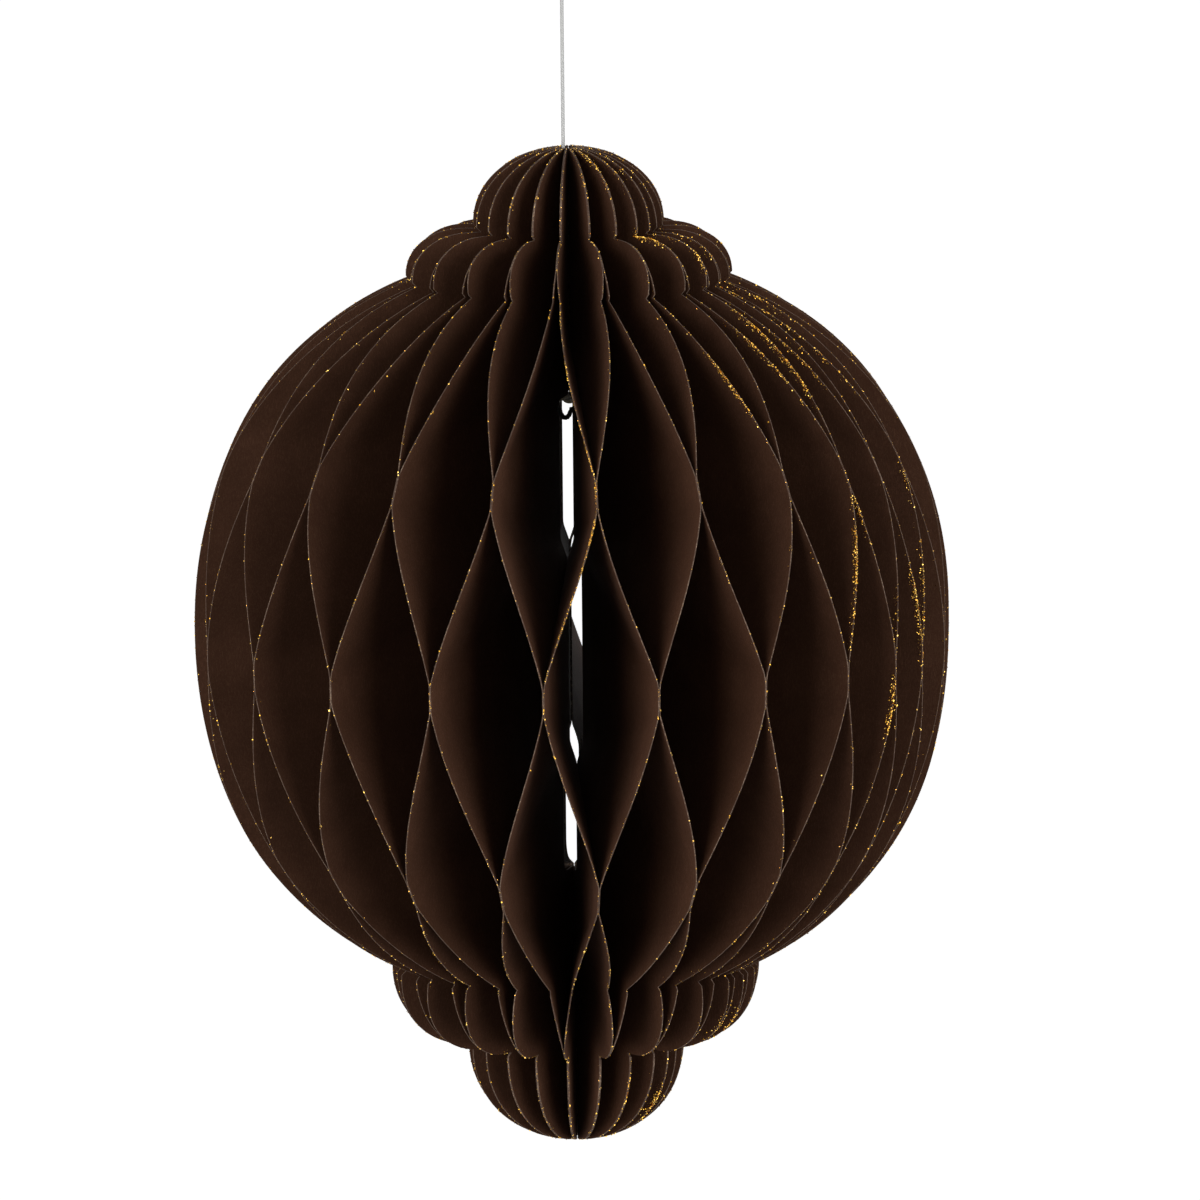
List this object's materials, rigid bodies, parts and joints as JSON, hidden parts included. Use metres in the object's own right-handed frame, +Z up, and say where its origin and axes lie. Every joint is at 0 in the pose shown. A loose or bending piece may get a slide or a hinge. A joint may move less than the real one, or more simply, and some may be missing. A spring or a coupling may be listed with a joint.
{
  "type": "paper hanging ball",
  "caption": "Hanging ball of dark brown card leaves glued by turns into open cells, with a domed top, small tiers, a domed foot, gold glitter on the cut edges and a taut grey cord.",
  "frame": {"origin": "inside top of the hanging loop, where it bears on a hook", "axes": "+Z up along the taut cord, -Y towards the pictured front"},
  "size_m": [0.2254, 0.2255, 0.375],
  "materials": {
    "brown_card": "matte fibrous card with pale cut edges and gold glitter",
    "dark_thread": "twisted thread",
    "grey_cord": "smooth round cord"
  },
  "bodies": {
    "root": {"binding_thread": "dark_thread", "cord_knot": "grey_cord", "hanging_cord": "grey_cord", "hanging_loop": "grey_cord", "leaf_01": "brown_card", "leaf_02": "brown_card", "leaf_03": "brown_card", "leaf_04": "brown_card", "leaf_05": "brown_card", "leaf_06": "brown_card", "leaf_07": "brown_card", "leaf_08": "brown_card", "leaf_09": "brown_card", "leaf_10": "brown_card", "leaf_11": "brown_card", "leaf_12": "brown_card", "leaf_13": "brown_card", "leaf_14": "brown_card", "leaf_15": "brown_card", "leaf_16": "brown_card", "leaf_17": "brown_card", "leaf_18": "brown_card", "leaf_19": "brown_card", "leaf_20": "brown_card", "leaf_21": "brown_card", "leaf_22": "brown_card", "leaf_23": "brown_card", "leaf_24": "brown_card", "leaf_25": "brown_card", "leaf_26": "brown_card", "leaf_27": "brown_card", "leaf_28": "brown_card", "leaf_29": "brown_card", "leaf_30": "brown_card", "leaf_31": "brown_card", "leaf_32": "brown_card", "leaf_33": "brown_card", "leaf_34": "brown_card", "leaf_35": "brown_card", "leaf_36": "brown_card", "leaf_37": "brown_card", "leaf_38": "brown_card", "leaf_39": "brown_card", "leaf_40": "brown_card", "leaf_41": "brown_card", "leaf_42": "brown_card", "leaf_43": "brown_card", "leaf_44": "brown_card", "loop_knot": "grey_cord"}
  },
  "joints": []
}
